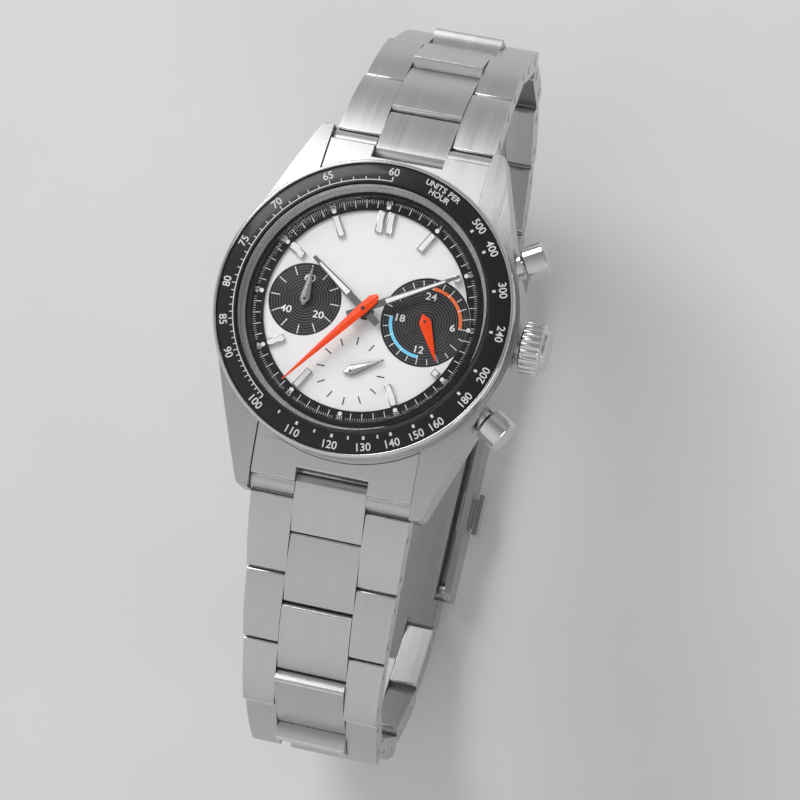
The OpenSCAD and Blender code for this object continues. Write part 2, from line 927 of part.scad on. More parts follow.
module clasp_cover() {
    color("silver")
    difference() {
        union() {
            translate([-cover_w / 2, cover_y0, 0]) cube([cover_w, cover_len, floor_t]);
            for (s = [0, 1]) mirror([s, 0, 0])
                translate([cover_in_w, cover_y0, 0]) cube([wall_t, cover_len, cover_h]);
            translate([0, cover_pivot_y, cover_pivot_z]) pin_x(knuckle_r, cover_w - 0.02);
        }
        translate([-knuckle_w, cover_y0 - 1, -1])
            cube([knuckle_w * 2, 1 + cover_pivot_y - cover_y0 + knuckle_r + 0.15, 9]);
        translate([-cover_w, cover_y0 - 1, -1])
            cube([cover_w * 2, cover_pivot_y - knuckle_r * 0.8 - cover_y0 + 1, 1.4]);
        translate([0, cover_pivot_y, cover_pivot_z]) pin_x(fold_pin_r + run, cover_w * 2);
        for (dy = [-2.6, 0, 2.6])
            translate([0, strand_pivot_y + dy, strand_pivot_z]) pin_x(0.5, cover_w * 2);
        translate([0, button_y, button_z])
            cube([cover_w * 2, button_len - 1.2, button_h + 0.1], center = true);
        for (y = [cover_y0, cover_y1])
            translate([0, y, cover_h + 1]) rotate([45, 0, 0])
                cube([cover_w * 2, 2.6, 2.6], center = true);
    }
}

module clasp_middle_blade() {
    color("lightgray")
    difference() {
        union() {
            translate([-blade_w + 0.6, cover_pivot_y, middle_z])
                cube([blade_w * 2 - 1.2, fold_y - cover_pivot_y, blade_t]);
            translate([0, cover_pivot_y, cover_pivot_z]) pin_x(knuckle_r, knuckle_w * 2 - 0.2);
            translate([0, fold_y, fold_z]) pin_x(knuckle_r, 6);
        }
        for (s = [0, 1]) mirror([s, 0, 0]) {
            translate([knuckle_w - 0.1, cover_pivot_y - 2, -1]) cube([9, 2 + knuckle_r + 0.2, 9]);
            translate([3, fold_y - knuckle_r - 0.15, -1]) cube([9, 9, 9]);
        }
        translate([0, cover_pivot_y, cover_pivot_z]) pin_x(fold_pin_r + fit / 2, 40);
        translate([0, fold_y, fold_z]) pin_x(fold_pin_r + fit / 2, 40);
        for (k = [0:2])
            translate([0, cover_pivot_y + 9 + 5.5 * k, middle_z - 1]) cylinder(r = 1.5, h = 3);
    }
}

module clasp_inner_blade() {
    tail_y = inner_pivot_y + flat_u;
    color("silver")
    difference() {
        union() {
            translate([-blade_w, tail_y + 1, inner_z])
                cube([blade_w * 2, fold_y - tail_y - 1, blade_t]);
            translate([-end_w / 2, tail_y, inner_z]) cube([end_w, 3.4, inner_pivot_z + 1 - inner_z]);
            translate([0, fold_y, fold_z]) pin_x(knuckle_r, blade_w * 2);
            translate([-centre_w / 2, inner_pivot_y, inner_pivot_z - link_t / 2])
                cube([centre_w, flat_u + 1, link_t - 0.4]);
            intersection() {
                translate([0, inner_pivot_y, inner_pivot_z]) pin_x(centre_r, centre_w);
                translate([-9, inner_pivot_y - 4, inner_pivot_z - link_t / 2])
                    cube([18, 9, link_t]);
            }
        }
        translate([-3.1, fold_y - knuckle_r - 0.15, 0]) cube([6.2, 9, 9]);
        translate([0, fold_y, fold_z]) pin_x(fold_pin_r + run, 40);
        translate([0, inner_pivot_y, inner_pivot_z]) pin_x(pin_r + run, 40);
        for (k = [0:1])
            translate([0, cover_pivot_y + 12 + 7 * k, inner_z - 1]) cylinder(r = 1.7, h = 3);
    }
}

module clasp_fold_pins() {
    color("gray") {
        translate([0, cover_pivot_y, cover_pivot_z]) pin_x(fold_pin_r, cover_w - 0.4);
        translate([0, fold_y, fold_z]) pin_x(fold_pin_r, blade_w * 2 - 0.3);
    }
}

module clasp_bar() {
    color("gray") translate([0, strand_pivot_y, strand_pivot_z]) {
        pin_x(pin_r, cover_in_w * 2 - 0.1);
        pin_x(0.45, cover_w - 0.3);
    }
}

module clasp_button(sign) {
    color("silver")
    mirror([sign < 0 ? 1 : 0, 0, 0]) translate([0, button_y, button_z]) {
        translate([cover_w / 2 + 0.1 + button_travel, -button_len / 2, -button_h / 2])
            cube([button_out - button_travel, button_len, button_h]);
        translate([cover_in_w - 0.3, -(button_len - 1.4) / 2, -button_h / 2 + 0.2])
            cube([wall_t + 1.2 + 0.3, button_len - 1.4, button_h - 0.4]);
        translate([cover_in_w - 0.5, -button_len / 2 + 0.1, -button_h / 2 + 0.1])
            cube([0.45, button_len - 0.2, button_h - 0.2]);
    }
}

module clasp_button_left() {
    clasp_button(-1);
}

module clasp_button_right() {
    clasp_button(1);
}

case_middle();
case_back();
case_back_gasket();
bezel_ring();
tachymeter_insert();
crystal();
crystal_gasket();
chapter_ring();
dial_plate();
minute_counter_disc();
day_counter_disc();
hour_markers();
movement_ring();
main_plate();
train_bridge();
battery();
coil();
circuit_board();
crown_tube();
pusher_tubes();
hour_hand();
minute_hand();
chronograph_hand();
minute_counter_hand();
day_hand();
small_seconds_hand();
crown();
winding_stem();
stem_gasket();
setting_lever();
start_pusher();
reset_pusher();
start_pusher_spring();
reset_pusher_spring();
end_link_12();
end_link_6();
spring_bar_12_ends();
spring_bar_6();
row_12(1);  // link_row_12_1
row_12(2);  // link_row_12_2
row_12(3);  // link_row_12_3
row_12(4);  // link_row_12_4
row_12(5);  // link_row_12_5
row_12(6);  // link_row_12_6
row_12(7);  // link_row_12_7
row_6(1);  // link_row_6_1
row_6(2);  // link_row_6_2
row_6(3);  // link_row_6_3
row_6(4);  // link_row_6_4
row_6(5);  // link_row_6_5
row_6(6);  // link_row_6_6
row_6(7);  // link_row_6_7
clasp_cover();
clasp_middle_blade();
clasp_inner_blade();
clasp_fold_pins();
clasp_bar();
clasp_button_left();
clasp_button_right();
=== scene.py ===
import json
import math

import bmesh
import bpy
from mathutils import Matrix, Vector

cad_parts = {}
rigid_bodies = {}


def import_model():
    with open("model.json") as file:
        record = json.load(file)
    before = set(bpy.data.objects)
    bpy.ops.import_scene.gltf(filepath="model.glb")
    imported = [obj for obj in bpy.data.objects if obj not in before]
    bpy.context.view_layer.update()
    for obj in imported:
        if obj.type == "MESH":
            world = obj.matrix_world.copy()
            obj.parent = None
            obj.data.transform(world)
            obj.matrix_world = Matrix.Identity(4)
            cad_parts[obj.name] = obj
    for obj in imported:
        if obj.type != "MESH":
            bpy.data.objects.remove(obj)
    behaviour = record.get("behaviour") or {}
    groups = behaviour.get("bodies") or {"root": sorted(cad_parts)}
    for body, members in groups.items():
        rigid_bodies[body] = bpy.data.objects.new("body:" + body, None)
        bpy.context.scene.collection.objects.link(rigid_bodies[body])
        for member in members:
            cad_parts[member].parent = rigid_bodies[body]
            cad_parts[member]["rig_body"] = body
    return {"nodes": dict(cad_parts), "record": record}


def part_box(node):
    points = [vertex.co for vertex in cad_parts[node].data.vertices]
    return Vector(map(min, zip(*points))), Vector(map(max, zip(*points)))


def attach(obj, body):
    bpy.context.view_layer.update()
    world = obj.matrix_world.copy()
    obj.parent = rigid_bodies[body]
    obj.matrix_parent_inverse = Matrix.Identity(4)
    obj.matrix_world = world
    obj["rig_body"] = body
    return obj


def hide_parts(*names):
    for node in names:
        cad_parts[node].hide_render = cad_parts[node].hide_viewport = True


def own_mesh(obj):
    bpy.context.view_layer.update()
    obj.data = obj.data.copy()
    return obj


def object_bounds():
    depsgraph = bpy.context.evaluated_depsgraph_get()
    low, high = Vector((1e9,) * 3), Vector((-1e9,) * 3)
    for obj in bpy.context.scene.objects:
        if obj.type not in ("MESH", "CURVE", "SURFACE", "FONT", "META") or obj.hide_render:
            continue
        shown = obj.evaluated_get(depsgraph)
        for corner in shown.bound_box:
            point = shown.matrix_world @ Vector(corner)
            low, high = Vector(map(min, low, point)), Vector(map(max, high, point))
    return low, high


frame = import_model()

# ---------------------------------------------------------------- measures
# Lengths are in millimetres, and MM turns them into metres. Angles are in degrees, and a
# clock angle runs clockwise from 12. Only materials and lamps use metres and radians.
MM = 0.001
nodes = frame["nodes"]
cad_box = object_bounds()
scene = bpy.context.scene

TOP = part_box("bezel_ring")[1].z / MM        # the bezel's top
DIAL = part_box("dial_plate")[1].z / MM       # the white dial
RING = DIAL + 0.3                           # flat of the chapter ring
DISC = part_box("minute_counter_disc")[1].z / MM  # the sunk counters
CENTRE = (0.0, 0.0)                         # the dial's middle, then those of the small dials
MINUTE_SUB = (-7.4, 0.0)
DAY_SUB = (7.4, 0.0)
SECOND_SUB = (0.0, -7.4)
CRYSTAL_R = 14.85
INSERT_IN, INSERT_OUT = 15.19, 17.55
BEZEL_R, BEZEL_BORE = 18.10, 16.05
MARKER_W, MARKER_LONG, MARKER_SHORT = 0.86, 2.65, 2.1
MARKER_END = 12.15                          # outer end of the markers
ROUND_STEPS = 256                           # flats of a turned part

# ---------------------------------------------------------------- camera
DISTANCE = 400.0
PHOTO_WIDTH = 800.0               # in pixels
FOCUS = 3400.0                    # focal length in pixels of the photograph
VIEW_FROM = (0.225, -0.193, 1.0)  # from the dial to the camera
LEFT, ABOVE = 38, 93              # pixels from the frame's middle to the dial's centre
ROLL = 13.26
AIM_ROUNDS = 6
SENSOR = 36.0
NEAR, FAR = 0.01, 20.0            # what the camera sees, in metres


def place_camera():
    """Turns the camera until the dial's centre lies where the photograph has it."""
    towards = Vector(VIEW_FROM).normalized()
    place = Vector((0.0, 0.0, TOP)) + towards * DISTANCE
    left, above = LEFT / FOCUS, ABOVE / FOCUS
    roll = math.radians(ROLL)
    ahead = -towards
    for _ in range(AIM_ROUNDS):
        r0 = ahead.cross(Vector((0, 1, 0))).normalized()
        u0 = r0.cross(ahead)
        right = math.cos(roll) * r0 + math.sin(roll) * u0
        up = -math.sin(roll) * r0 + math.cos(roll) * u0
        ahead = (-towards + right * left - up * above).normalized()
    right = (right - ahead * right.dot(ahead)).normalized()
    up = right.cross(ahead)
    data = bpy.data.cameras.new("camera")
    data.sensor_width = SENSOR
    data.lens = FOCUS * SENSOR / PHOTO_WIDTH
    data.clip_start, data.clip_end = NEAR, FAR
    cam = bpy.data.objects.new("camera", data)
    turn = Matrix((right, up, -ahead)).transposed().to_4x4()
    cam.matrix_world = Matrix.Translation(place * MM) @ turn
    scene.collection.objects.link(cam)
    scene.camera = cam


place_camera()

# ---------------------------------------------------------------- materials
# Depth of each kind of relief, in metres.
GRAIN_DEPTH, HAIRLINE_DEPTH, PEEL_DEPTH, RING_DEPTH = 0.000012, 0.00001, 0.00002, 0.00005
WORN_SHEEN_TONE = 1.35                  # how much paler a worn steel edge is painted: partly wear, partly a painted highlight
WORN_SHEEN_SHARE, WORN_GLOSS = 0.8, 0.12


class Nodes:
    """A material's node tree with short ways to add to it."""

    def __init__(self, name):
        self.mat = bpy.data.materials.new(name)
        self.mat.use_nodes = True
        self.tree = self.mat.node_tree
        self.tree.nodes.clear()
        self.out = self.add("ShaderNodeOutputMaterial")
        self.bsdf = self.add("ShaderNodeBsdfPrincipled")
        self.link(self.bsdf.outputs[0], self.out.inputs["Surface"])
        self.coord = self.add("ShaderNodeTexCoord").outputs["Object"]

    def add(self, kind, **values):
        n = self.tree.nodes.new(kind)
        for k, v in values.items():
            setattr(n, k, v)
        return n

    def link(self, a, b):
        self.tree.links.new(a, b)

    def noise(self, scale, detail=3.0, rough=0.5, turn=(0, 0, 0), shift=(0, 0, 0)):
        """Noise on the object's coordinates times a scale, which is one number or three."""
        if isinstance(scale, (int, float)):
            scale = (scale,) * 3
        place = self.add("ShaderNodeMapping")
        place.inputs["Scale"].default_value = scale
        place.inputs["Rotation"].default_value = turn
        place.inputs["Location"].default_value = shift
        self.link(self.coord, place.inputs["Vector"])
        n = self.add("ShaderNodeTexNoise")
        n.inputs["Scale"].default_value = 1.0
        n.inputs["Detail"].default_value = detail
        n.inputs["Roughness"].default_value = rough
        self.link(place.outputs[0], n.inputs["Vector"])
        return n.outputs["Fac"]

    def math(self, op, a, b=None):
        n = self.add("ShaderNodeMath", operation=op)
        for i, v in enumerate((a, b)):
            if v is None:
                continue
            if isinstance(v, (int, float)):
                n.inputs[i].default_value = v
            else:
                self.link(v, n.inputs[i])
        return n.outputs[0]

    def spread(self, value, low, high, a=0.3, b=0.7):
        n = self.add("ShaderNodeMapRange")
        n.inputs["From Min"].default_value = a
        n.inputs["From Max"].default_value = b
        n.inputs["To Min"].default_value = low
        n.inputs["To Max"].default_value = high
        self.link(value, n.inputs["Value"])
        return n.outputs[0]

    def colours(self, value, *stops):
        n = self.add("ShaderNodeValToRGB")
        ramp = n.color_ramp
        while len(ramp.elements) < len(stops):
            ramp.elements.new(0.5)
        for e, (at, c) in zip(ramp.elements, stops):
            e.position = at
            e.color = (*c, 1.0)
        self.link(value, n.inputs["Fac"])
        return n.outputs["Color"]

    def mix(self, a, b, factor):
        n = self.add("ShaderNodeMix", data_type="FLOAT")
        n.inputs[0].default_value = factor
        self.link(a, n.inputs[2])
        self.link(b, n.inputs[3])
        return n.outputs[0]

    def blend(self, a, colour, factor):
        n = self.add("ShaderNodeMix", data_type="RGBA")
        self.link(factor, n.inputs["Factor"])
        self.link(a, n.inputs[6])
        n.inputs[7].default_value = (*colour, 1.0)
        return n.outputs[2]

    def worn_edges(self):
        """One on the rounded edges that refine() makes, broken up by noise: wear that lowers the
        roughness, and a painted highlight that makes the edges paler.
        """
        a = self.add("ShaderNodeAttribute", attribute_name="wear_and_sheen")
        patch = self.spread(self.noise(700, 2.0), 0.45, 1.0, 0.35, 0.65)
        return self.math("MULTIPLY", a.outputs["Fac"], patch)

    def radius(self, centre):
        """Distance from an upright axis at centre, in metres."""
        s = self.add("ShaderNodeVectorMath", operation="SUBTRACT")
        self.link(self.coord, s.inputs[0])
        s.inputs[1].default_value = (centre[0] * MM, centre[1] * MM, 0)
        m = self.add("ShaderNodeVectorMath", operation="MULTIPLY")
        self.link(s.outputs[0], m.inputs[0])
        m.inputs[1].default_value = (1, 1, 0)
        n = self.add("ShaderNodeVectorMath", operation="LENGTH")
        self.link(m.outputs[0], n.inputs[0])
        return n.outputs["Value"]

    def bump(self, height, strength, distance):
        n = self.add("ShaderNodeBump")
        n.inputs["Strength"].default_value = strength
        n.inputs["Distance"].default_value = distance
        self.link(height, n.inputs["Height"])
        self.link(n.outputs[0], self.bsdf.inputs["Normal"])

    def set(self, **values):
        for k, v in values.items():
            self.bsdf.inputs[k.replace("_", " ")].default_value = v

    def paint(self, colour):
        self.link(colour, self.bsdf.inputs["Base Color"])

    def rough(self, value):
        self.link(value, self.bsdf.inputs["Roughness"])


def shade(c, f):
    return tuple(min(1.0, x * f) for x in c)


def brushed(name, base, low, high, grain, turn=(0, 0, 0), strength=0.25):
    """Steel with a fine straight grain, cloudy roughness and worn edges, glossier from wear and
    painted paler as a painted highlight.
    """
    m = Nodes(name)
    fine = m.noise(grain, 3.0, 0.6, turn)
    coarse = m.noise(tuple(g * 0.3 for g in grain), 2.0, turn=turn, shift=(3, 1, 2))
    cloud = m.noise(75, 1.0)
    streak = m.mix(fine, coarse, 0.4)
    both = m.mix(streak, cloud, 0.2)
    tone = m.colours(streak, (0.25, shade(base, 0.94)), (0.5, base), (0.78, shade(base, 1.04)))
    rub_and_sheen = m.worn_edges()
    # worn edges painted paler in colour: a painted highlight, along with the real wear
    m.paint(m.blend(tone, shade(base, WORN_SHEEN_TONE), m.math("MULTIPLY", rub_and_sheen, WORN_SHEEN_SHARE)))
    gloss = m.math("MULTIPLY", rub_and_sheen, WORN_GLOSS)
    m.rough(m.math("SUBTRACT", m.spread(both, low, high), gloss))
    m.bump(streak, strength, GRAIN_DEPTH)
    m.set(Metallic=1.0)
    return m.mat


def polished(name, base, low, high, marks):
    """Polished metal with faint hairlines and handling haze."""
    m = Nodes(name)
    haze = m.noise(240)
    hair = m.noise((9000, 500, 700), turn=(0.4, 0.9, 0.6))
    both = m.mix(haze, hair, 0.4)
    m.paint(m.colours(both, (0.3, shade(base, 0.9)), (0.7, base)))
    m.rough(m.spread(both, low, high))
    m.bump(hair, marks, HAIRLINE_DEPTH)
    m.set(Metallic=1.0)
    return m.mat


def lacquer(name, base, low, high, scale=900, strength=0.1, coat=0.0, spread=0.12,
            gloss=0.5):
    """Printed or sprayed lacquer: slight mottling, orange peel and gloss changes."""
    m = Nodes(name)
    peel = m.noise(scale)
    wide = m.noise(120, 2.0, shift=(5, 2, 1))
    dark, pale = shade(base, 1 - spread), shade(base, 1 + spread / 2)
    m.paint(m.colours(m.mix(peel, wide, 0.6), (0.3, dark), (0.7, pale)))
    m.rough(m.spread(m.mix(peel, wide, 0.5), low, high))
    m.bump(peel, strength, PEEL_DEPTH)
    m.set(Coat_Weight=coat, Coat_Roughness=0.08, Specular_IOR_Level=gloss)
    return m.mat


def turned(name, base, crest_sheen, centre, pitch, low, high, strength, inner=0.0, coat=0.0,
           metallic=0.0):
    """A face with fine turned rings about an upright axis, none within the inner radius; the
    rings are bumped, and their crests are painted paler as a painted sheen.
    """
    m = Nodes(name)
    r = m.radius(centre)
    wave = m.math("SINE", m.math("MULTIPLY", r, 2 * math.pi / (pitch * MM)))
    wave = m.spread(wave, 0.0, 1.0, -1.0, 1.0)
    if inner:
        wave = m.math("MULTIPLY", wave, m.math("GREATER_THAN", r, inner * MM))
    dust = m.noise(1500)
    both = m.mix(wave, dust, 0.25)
    # ring crests painted in the paler colour: a painted sheen of the turned grooves
    m.paint(m.colours(both, (0.2, base), (0.85, crest_sheen)))
    m.rough(m.spread(both, low, high, 0.2, 0.8))
    m.bump(wave, strength, RING_DEPTH)
    m.set(Coat_Weight=coat, Coat_Roughness=0.1, Metallic=metallic, Specular_IOR_Level=0.25)
    return m.mat


def crystal_glass():
    """Clear sapphire with a few dust specks, which lets light through for shadows."""
    m = Nodes("sapphire_clear")
    dust = m.noise(2500, 2.0)
    m.rough(m.spread(dust, 0.0, 0.012, 0.55, 0.75))
    m.set(Transmission_Weight=1.0, IOR=1.2, Base_Color=(0.985, 0.99, 0.995, 1.0))
    clear = m.add("ShaderNodeBsdfTransparent")
    clear.inputs[0].default_value = (0.96, 0.97, 0.98, 1.0)
    ray = m.add("ShaderNodeLightPath")
    mix = m.add("ShaderNodeMixShader")
    m.link(ray.outputs["Is Shadow Ray"], mix.inputs[0])
    m.link(m.bsdf.outputs[0], mix.inputs[1])
    m.link(clear.outputs[0], mix.inputs[2])
    m.link(mix.outputs[0], m.out.inputs["Surface"])
    return m.mat


CENTRE_STEEL = (0.57, 0.57, 0.566)
OUTER_STEEL = (0.55, 0.55, 0.546)
# darker than the link steel: a painted shade that tones down the key lamp's highlight on the
# case; the clasp blade shares it
CASE_STEEL_SHADED = (0.50, 0.50, 0.496)
# the counters' paler ring colour is a painted sheen on their grooves
COUNTER_DARK, COUNTER_SHEEN = (0.004, 0.004, 0.005), (0.075, 0.075, 0.078)
COUNTER_PITCH, COUNTER_BARE = 0.33, 0.5
FINE = (2600, 60, 60)             # grain that runs along the bracelet
OUTER_FINE = (2500, 55, 55)
CASE_FINE = (2600, 80, 80)
GRAIN = 0.14                      # strength of the steel's grain

MAT = {
    "link_a": brushed("link_satin_centre", CENTRE_STEEL, 0.27, 0.37, FINE, strength=GRAIN),
    "link_b": brushed("link_satin_outer", OUTER_STEEL, 0.27, 0.37, OUTER_FINE, (0, 0, 0.01),
                      GRAIN),
    "case": brushed("case_satin", CASE_STEEL_SHADED, 0.22, 0.33, CASE_FINE, (0, 0, 0.5), GRAIN),
    "clasp": brushed("clasp_satin", OUTER_STEEL, 0.25, 0.36, FINE, strength=GRAIN),
    "blade": brushed("blade_satin", CASE_STEEL_SHADED, 0.26, 0.38, FINE, strength=GRAIN),
    "bar": brushed("bar_steel", (0.42, 0.42, 0.42), 0.25, 0.4, (400, 4000, 4000)),
    "polish": polished("steel_polished", (0.70, 0.70, 0.695), 0.06, 0.16, 0.02),
    "crown": polished("crown_polished", (0.68, 0.68, 0.675), 0.08, 0.2, 0.03),
    "hand": polished("hand_polished", (0.42, 0.42, 0.418), 0.10, 0.22, 0.1),
    "marker": polished("marker_polished", (0.66, 0.66, 0.655), 0.10, 0.2, 0.03),
    "hand_pin": polished("hand_pin", (0.10, 0.10, 0.102), 0.2, 0.35, 0.1),
    "facet": polished("hand_facet", (0.62, 0.62, 0.616), 0.14, 0.2, 0.02),
    "hand_dark": polished("hand_root", (0.34, 0.34, 0.345), 0.15, 0.3, 0.1),
    "insert": turned("insert_black", (0.010, 0.010, 0.011), (0.022, 0.022, 0.023), CENTRE,
                     0.055, 0.22, 0.36, 0.12, coat=0.25),
    "ring": lacquer("ring_black", (0.008, 0.008, 0.010), 0.28, 0.42, gloss=0.25),
    "dial": lacquer("dial_white", (0.83, 0.83, 0.825), 0.38, 0.5, 700, 0.04, 0.1, 0.03),
    "disc_minute": turned("counter_black_left", COUNTER_DARK, COUNTER_SHEEN, MINUTE_SUB,
                          COUNTER_PITCH, 0.3, 0.45, 0.5, COUNTER_BARE),
    "disc_day": turned("counter_black_right", COUNTER_DARK, COUNTER_SHEEN, DAY_SUB,
                       COUNTER_PITCH, 0.3, 0.45, 0.5, COUNTER_BARE),
    "lume": lacquer("marker_fill_white", (0.84, 0.84, 0.82), 0.5, 0.7, 4000, 0.3),
    "print": lacquer("print_white", (0.82, 0.82, 0.82), 0.4, 0.6, 5000, 0.15),
    "print_soft": lacquer("print_grey_white", (0.64, 0.65, 0.67), 0.4, 0.6, 5000, 0.15),
    "print_black": lacquer("print_black", (0.02, 0.02, 0.02), 0.35, 0.5, 5000, 0.15),
    "orange": lacquer("lacquer_orange", (0.92, 0.062, 0.002), 0.26, 0.38, 1600, 0.08, 0.1,
                      gloss=0.3),
    "orange_print": lacquer("print_orange", (0.88, 0.16, 0.03), 0.4, 0.55, 5000, 0.15),
    "blue_print": lacquer("print_blue", (0.19, 0.64, 0.90), 0.4, 0.55, 5000, 0.15),
    "rubber": lacquer("rubber_black", (0.018, 0.018, 0.018), 0.6, 0.8, 3000, 0.4),
    "plastic": lacquer("movement_holder", (0.16, 0.16, 0.165), 0.45, 0.6, 1200, 0.2),
    "brass": turned("plate_brass", (0.52, 0.38, 0.17), (0.66, 0.50, 0.24), CENTRE, 0.3,
                    0.25, 0.4, 0.2, metallic=1.0),
    "copper": turned("coil_copper", (0.45, 0.16, 0.06), (0.72, 0.32, 0.14), (5, 8), 0.08,
                     0.3, 0.45, 0.5, coat=0.3, metallic=1.0),
    "board": lacquer("board_green", (0.015, 0.09, 0.04), 0.35, 0.55, 2600, 0.3),
    "glass": crystal_glass(),
}


def dress(obj, mat):
    """Gives an object one of the materials."""
    obj.data.materials.clear()
    obj.data.materials.append(MAT[mat])


# ---------------------------------------------------------------- mesh tools
WELD = 3e-6                       # metres
FLAT = 0.5                        # faces within this angle are one face
ALONG_X = 0.95                    # the share of an edge that runs along X, to count as across
SHORTEST_WIDE = 2.0               # edges shorter than this keep the small radius
WIDE = 0.2                        # a radius above this is made in more steps
STEPS, WIDE_STEPS = 2, 4
# marks on the rounded faces, for wear (lower roughness) and a painted highlight (paler colour)
NO_WEAR_OR_SHEEN, WORN_AND_SHEEN = (0, 0, 0, 1), (1, 1, 1, 1)


def new_object(name, bm, smooth=0):
    """A new mesh object, smooth below an angle, or flat."""
    me = bpy.data.meshes.new(name)
    bm.to_mesh(me)
    bm.free()
    obj = bpy.data.objects.new(name, me)
    scene.collection.objects.link(obj)
    if smooth:
        me.shade_smooth()
        me.set_sharp_from_angle(angle=math.radians(smooth))
    return obj


def even_normals(obj):
    mod = obj.modifiers.new("even", "WEIGHTED_NORMAL")
    mod.keep_sharp = True
    mod.weight = 60


def round_edges(bm, width, limit, segments, only_across):
    """Bevels the sharp edges, or only the long ones along X, and marks the new faces for wear and
    a painted highlight.
    """
    wear_sheen = bm.loops.layers.color["wear_and_sheen"]
    sharp = []
    for e in bm.edges:
        if len(e.link_faces) != 2 or e.calc_face_angle(0.0) <= limit:
            continue
        way = e.verts[1].co - e.verts[0].co
        if only_across and (abs(way.x) < ALONG_X * way.length or way.length < SHORTEST_WIDE * MM):
            continue
        sharp.append(e)
    done = bmesh.ops.bevel(bm, geom=sharp, offset=width * MM, segments=segments, profile=0.5,
                           affect="EDGES", clamp_overlap=True)
    for f in done["faces"]:
        for loop in f.loops:
            loop[wear_sheen] = WORN_AND_SHEEN


def refine(node, width, mat, angle=34.0, segments=STEPS, across=0.0):
    """The CAD node's own shape with small rounded edges, wider ones on edges along X."""
    src = nodes[node]
    bm = bmesh.new()
    bm.from_mesh(src.data)
    bmesh.ops.remove_doubles(bm, verts=bm.verts, dist=WELD)
    bmesh.ops.dissolve_limit(bm, angle_limit=math.radians(FLAT), verts=bm.verts, edges=bm.edges)
    wear_sheen = bm.loops.layers.color.new("wear_and_sheen")
    for f in bm.faces:
        for loop in f.loops:
            loop[wear_sheen] = NO_WEAR_OR_SHEEN
    limit = math.radians(angle)
    if across:
        round_edges(bm, across, limit, WIDE_STEPS if across > WIDE else segments, True)
    round_edges(bm, width, limit, WIDE_STEPS if width > WIDE else segments, False)
    obj = new_object(node + "_form", bm, 40)
    even_normals(obj)
    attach(obj, src["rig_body"])
    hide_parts(node)
    dress(obj, mat)


def lathe(node, profile, mat, smooth=40):
    """Turns a closed profile of (radius, height) about the dial's axis, in the node's place."""
    steps = ROUND_STEPS
    bm = bmesh.new()
    rings = []
    for r, z in profile:
        if r < 1e-6:
            rings.append([bm.verts.new((0, 0, z * MM))])
            continue
        rings.append([
            bm.verts.new((r * MM * math.sin(2 * math.pi * k / steps),
                          r * MM * math.cos(2 * math.pi * k / steps), z * MM))
            for k in range(steps)
        ])
    for a, b in zip(rings, rings[1:] + rings[:1]):
        for k in range(steps):
            n = (k + 1) % steps
            if len(a) == 1 and len(b) == 1:
                continue
            if len(a) == 1:
                bm.faces.new((a[0], b[n], b[k]))
            elif len(b) == 1:
                bm.faces.new((a[k], a[n], b[0]))
            else:
                bm.faces.new((a[k], a[n], b[n], b[k]))
    bmesh.ops.recalc_face_normals(bm, faces=bm.faces)
    obj = new_object(node + "_form", bm, smooth)
    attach(obj, "head")
    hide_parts(node)
    dress(obj, mat)


def clock(angle, r, centre=CENTRE):
    """The point at a clock angle and radius about a centre."""
    a = math.radians(angle)
    return centre[0] + r * math.sin(a), centre[1] + r * math.cos(a)


def swing(points, angle, centre=CENTRE):
    """Points drawn for 12 o'clock, moved to a clock angle about a centre."""
    a = math.radians(angle)
    s, c = math.sin(a), math.cos(a)
    return [(centre[0] + x * c + y * s, centre[1] - x * s + y * c) for x, y in points]


LETTER_STEPS = 5                  # points on each curve of a letter
FONT_CACHE = {}


def word_mesh(body, weight=0.0):
    """Points and faces of a word in Blender's own font."""
    curve = bpy.data.curves.new("word", "FONT")
    curve.body = body
    curve.offset = weight
    curve.resolution_u = LETTER_STEPS
    obj = bpy.data.objects.new("word", curve)
    scene.collection.objects.link(obj)
    graph = bpy.context.evaluated_depsgraph_get()
    me = bpy.data.meshes.new_from_object(obj.evaluated_get(graph))
    points = [v.co.copy() for v in me.vertices]
    faces = [tuple(p.vertices) for p in me.polygons]
    bpy.data.objects.remove(obj)
    bpy.data.meshes.remove(me)
    return points, faces


def glyphs(body, weight=0.0):
    """Flat triangles of a word, one capital high, centred on its middle."""
    key = (body, weight)
    if key not in FONT_CACHE:
        points, faces = word_mesh(body, weight)
        tall = cap_height()
        low = min(p.x for p in points)
        high = max(p.x for p in points)
        mid = (low + high) / 2
        flat = [((p.x - mid) / tall, p.y / tall - 0.5) for p in points]
        FONT_CACHE[key] = (flat, faces, (high - low) / tall)
    return FONT_CACHE[key]


def cap_height():
    if "cap" not in FONT_CACHE:
        FONT_CACHE["cap"] = max(p.y for p in word_mesh("H")[0])
    return FONT_CACHE["cap"]


INK = 0.012                       # thickness of a print
INK_GAP = 0.004                   # its height over the surface
ARC_STEP = 1.5
DOT_SIDES = 24


